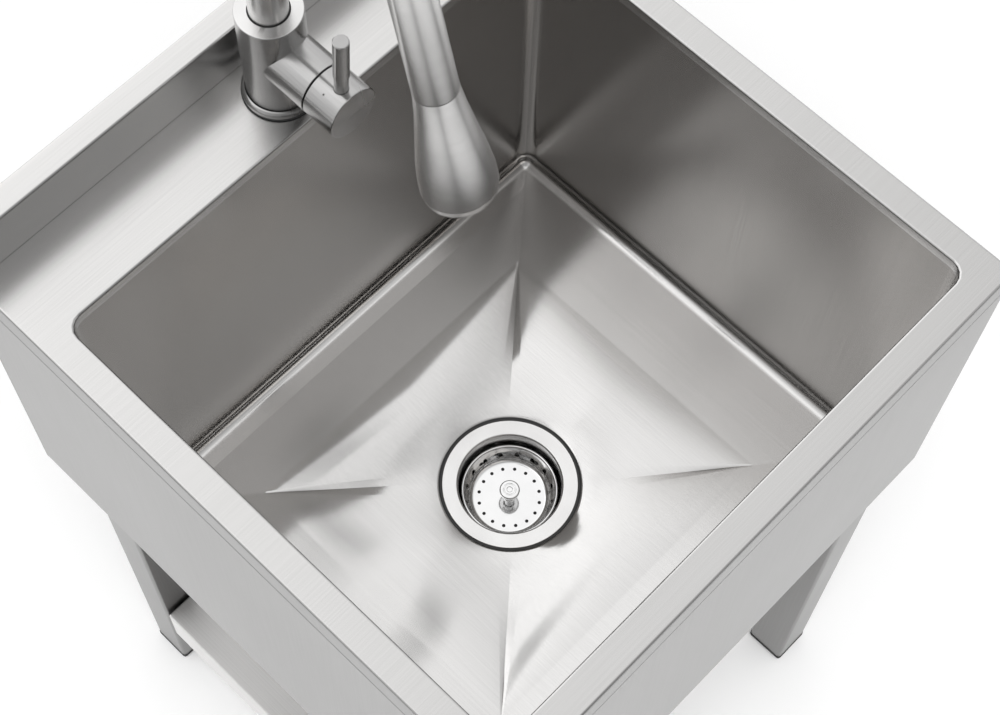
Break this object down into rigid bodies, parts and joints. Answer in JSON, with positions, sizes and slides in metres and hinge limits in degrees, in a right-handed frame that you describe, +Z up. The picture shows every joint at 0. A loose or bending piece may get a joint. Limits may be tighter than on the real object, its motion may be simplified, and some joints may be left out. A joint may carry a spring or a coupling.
{
  "type": "utility laundry sink",
  "caption": "Freestanding utility sink: deep folded steel bowl with a basket strainer, apron, square legs with levelling feet, lower shelf and a pull-down mixer tap.",
  "frame": {"origin": "on the floor under the middle of the whole object", "axes": "+Z up, +X to the right seen from the front, front of the sink towards -Y"},
  "size_m": [0.508, 0.521, 1.2517],
  "materials": {
    "deck_steel": "satin brushed along X",
    "bowl_steel": "fine satin brush",
    "apron_steel": "satin brush",
    "plain_steel": "plain mill finish",
    "satin_steel": "satin, brushed round the axis",
    "polished_steel": "polished",
    "black_plastic": "moulded, matt",
    "black_rubber": "moulded rubber",
    "white_plastic": "moulded, matt",
    "grey_plastic": "moulded, matt"
  },
  "bodies": {
    "root": {"top_deck": "deck_steel", "backsplash": "deck_steel", "bowl": "bowl_steel", "apron_front": "apron_steel", "apron_right": "apron_steel", "apron_back": "apron_steel", "apron_left": "apron_steel", "lower_shelf": "apron_steel", "leg_front_left": "apron_steel", "leg_front_right": "apron_steel", "leg_back_left": "apron_steel", "leg_back_right": "apron_steel", "shelf_stiffener": "plain_steel", "strainer_locknut": "plain_steel", "tap_shank": "plain_steel", "tap_nut": "plain_steel", "leg_socket_front_left": "plain_steel", "leg_socket_front_right": "plain_steel", "leg_socket_back_left": "plain_steel", "leg_socket_back_right": "plain_steel", "leg_screw_front_left": "plain_steel", "leg_screw_front_right": "plain_steel", "leg_screw_back_left": "plain_steel", "leg_screw_back_right": "plain_steel", "shelf_bolt_front_left": "plain_steel", "shelf_bolt_front_right": "plain_steel", "shelf_bolt_back_left": "plain_steel", "shelf_bolt_back_right": "plain_steel", "spout_bush": "black_plastic", "leg_cap_front_left": "black_plastic", "leg_cap_front_right": "black_plastic", "leg_cap_back_left": "black_plastic", "leg_cap_back_right": "black_plastic", "strainer_body": "polished_steel", "tailpiece": "polished_steel", "cartridge_nut": "polished_steel", "strainer_gasket": "black_rubber", "tap_gasket": "black_rubber", "tap_washer": "black_rubber", "tailpiece_nut": "white_plastic", "cartridge": "grey_plastic", "tap_base_ring": "satin_steel", "tap_body": "satin_steel"},
    "strainer_basket": {"basket": "polished_steel", "basket_stopper": "black_rubber", "basket_post": "polished_steel"},
    "valve": {"mixing_disc": "white_plastic"},
    "handle": {"valve_stem": "plain_steel", "handle_cap": "satin_steel", "lever_pin": "satin_steel", "handle_screw": "plain_steel"},
    "spout": {"spout_tube": "satin_steel", "dock_collar": "black_plastic"},
    "head": {"spray_head": "satin_steel", "spray_face": "black_rubber", "spray_hose": "grey_plastic"},
    "foot_front_left": {"levelling_foot_front_left": "black_plastic"},
    "foot_front_right": {"levelling_foot_front_right": "black_plastic"},
    "foot_back_left": {"levelling_foot_back_left": "black_plastic"},
    "foot_back_right": {"levelling_foot_back_right": "black_plastic"}
  },
  "joints": [
    {"name": "foot_front_left_travel", "type": "slide", "parent": "root", "child": "foot_front_left", "axis": [0, 0, 1], "range_m": [-0.012, 0]},
    {"name": "foot_front_right_travel", "type": "slide", "parent": "root", "child": "foot_front_right", "axis": [0, 0, 1], "range_m": [-0.012, 0]},
    {"name": "foot_back_left_travel", "type": "slide", "parent": "root", "child": "foot_back_left", "axis": [0, 0, 1], "range_m": [-0.012, 0]},
    {"name": "foot_back_right_travel", "type": "slide", "parent": "root", "child": "foot_back_right", "axis": [0, 0, 1], "range_m": [-0.012, 0]},
    {"name": "basket_lift", "type": "slide", "parent": "root", "child": "strainer_basket", "axis": [0, 0, 1], "range_m": [0, 0.09]},
    {"name": "handle_turn", "type": "hinge", "parent": "root", "child": "valve", "pos_m": [0, 0.2055, 0.902], "axis": [0, -1, 0], "range_deg": [-45, 45]},
    {"name": "handle_tilt", "type": "hinge", "parent": "valve", "child": "handle", "pos_m": [0, 0.1718, 0.902], "axis": [1, 0, 0], "range_deg": [0, 20]},
    {"name": "spout_swivel", "type": "hinge", "parent": "root", "child": "spout", "pos_m": [0, 0.2055, 0.846], "axis": [0, 0, 1], "range_deg": [-120, 120]},
    {"name": "head_pull", "type": "slide", "parent": "spout", "child": "head", "axis": [0, -0.2164, -0.9763], "range_m": [0, 0.07], "stiffness_N_per_m": 50, "springref_m": -0.15}
  ]
}
